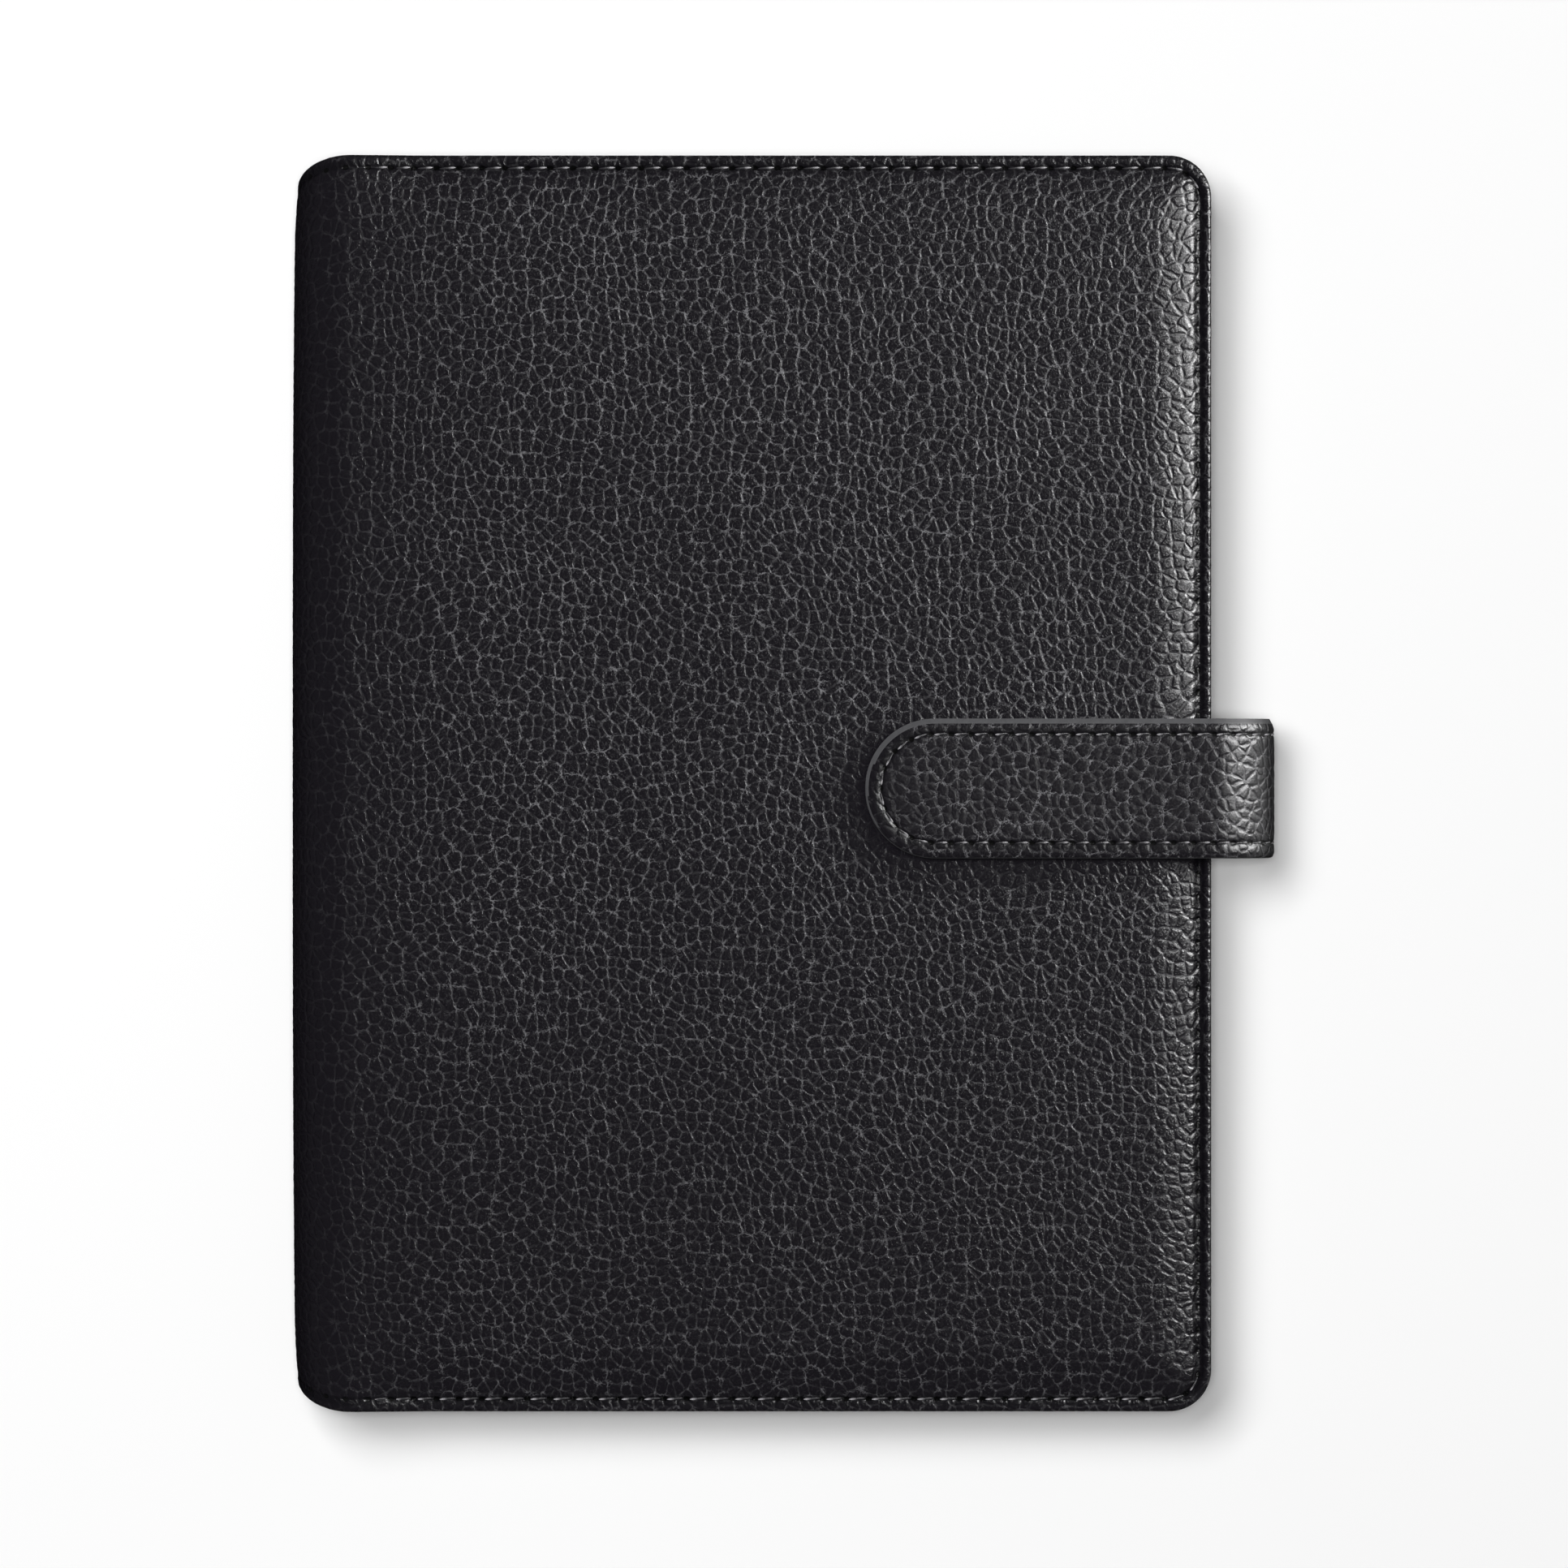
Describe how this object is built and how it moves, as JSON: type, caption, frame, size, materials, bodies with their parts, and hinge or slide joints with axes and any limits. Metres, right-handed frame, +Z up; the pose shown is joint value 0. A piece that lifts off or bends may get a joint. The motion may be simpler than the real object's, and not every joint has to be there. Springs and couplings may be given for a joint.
{
  "type": "leather notebook cover",
  "caption": "Padded pebbled-leather cover for an A5 notebook, with a round spine, inner pockets and a wrap-around strap with a magnetic snap; opens flat.",
  "frame": {"origin": "middle of the back cover's outside face, which the shut cover lies on", "axes": "+Z up through the front cover, +X towards the fore-edge and the strap, +Y towards the head"},
  "size_m": [0.1766, 0.225, 0.0247],
  "materials": {
    "pebbled_leather": "semi-gloss pebbled grain, near black",
    "pocket_leather": "smooth, thin, near black",
    "strap_lining_leather": "fine grained, matte",
    "lining_fabric": "matte woven lining",
    "foam_padding": "closed-cell foam, matte",
    "stiffening_board": "pressed grey bookbinding board, matte",
    "sewing_thread": "bonded polyester thread, slight sheen",
    "notebook_board": "cloth-covered book board, matte",
    "paper": "uncoated ivory writing paper",
    "spine_cloth": "book cloth, matte",
    "snap_metal": "nickel plated",
    "ferrite": "sintered ferrite, dark grey, matte"
  },
  "bodies": {
    "back": {"back_leather": "pebbled_leather", "back_padding": "foam_padding", "back_board": "stiffening_board", "back_lining": "lining_fabric", "back_pocket": "pocket_leather", "back_stitching": "sewing_thread", "notebook_back_board": "notebook_board", "lower_pages": "paper", "lower_spine_cloth": "spine_cloth", "strap_root_leather": "pebbled_leather", "strap_root_lining": "strap_lining_leather", "strap_root_stitching": "sewing_thread"},
    "spine": {"spine_leather": "pebbled_leather", "spine_stay": "stiffening_board", "spine_lining": "lining_fabric"},
    "front": {"front_leather": "pebbled_leather", "front_padding": "foam_padding", "front_board": "stiffening_board", "front_lining": "lining_fabric", "front_pocket": "pocket_leather", "front_stitching": "sewing_thread", "card_slot_lower": "pocket_leather", "card_slot_middle": "pocket_leather", "card_slot_upper": "pocket_leather", "snap_socket": "snap_metal", "snap_magnet": "ferrite", "socket_washer": "snap_metal", "notebook_front_board": "notebook_board"},
    "pages": {"upper_pages": "paper", "upper_spine_cloth": "spine_cloth"},
    "strap_side": {"strap_side_leather": "pebbled_leather", "strap_side_lining": "strap_lining_leather", "strap_side_stitching": "sewing_thread"},
    "strap_tab": {"strap_tab_leather": "pebbled_leather", "strap_tab_lining": "strap_lining_leather", "strap_tab_stitching": "sewing_thread", "snap_stud": "snap_metal", "stud_washer": "snap_metal"}
  },
  "joints": [
    {"name": "spine_fold", "type": "hinge", "parent": "back", "child": "spine", "pos_m": [-0.08014, 0, 0.00236], "axis": [0, -1, 0], "range_deg": [0, 90]},
    {"name": "front_fold", "type": "hinge", "parent": "spine", "child": "front", "pos_m": [-0.08014, 0, 0.01964], "axis": [0, -1, 0], "range_deg": [0, 90]},
    {"name": "page_turn", "type": "hinge", "parent": "back", "child": "pages", "pos_m": [-0.07365, 0, 0.011], "axis": [0, -1, 0], "range_deg": [0, 180]},
    {"name": "strap_base_bend", "type": "hinge", "parent": "back", "child": "strap_side", "pos_m": [0.09165, 0, 0.00385], "axis": [0, 1, 0], "range_deg": [0, 90], "deforming": ["strap_side_leather", "strap_side_lining", "strap_side_stitching"]},
    {"name": "strap_tip_bend", "type": "hinge", "parent": "strap_side", "child": "strap_tab", "pos_m": [0.09165, 0, 0.02215], "axis": [0, 1, 0], "range_deg": [0, 90], "deforming": ["strap_tab_leather", "strap_tab_lining", "strap_tab_stitching", "snap_stud", "stud_washer"]}
  ],
  "couplings": [
    {"joint": "front_fold", "follows": "spine_fold", "ratio": 1},
    {"joint": "page_turn", "follows": "spine_fold", "ratio": 2}
  ]
}
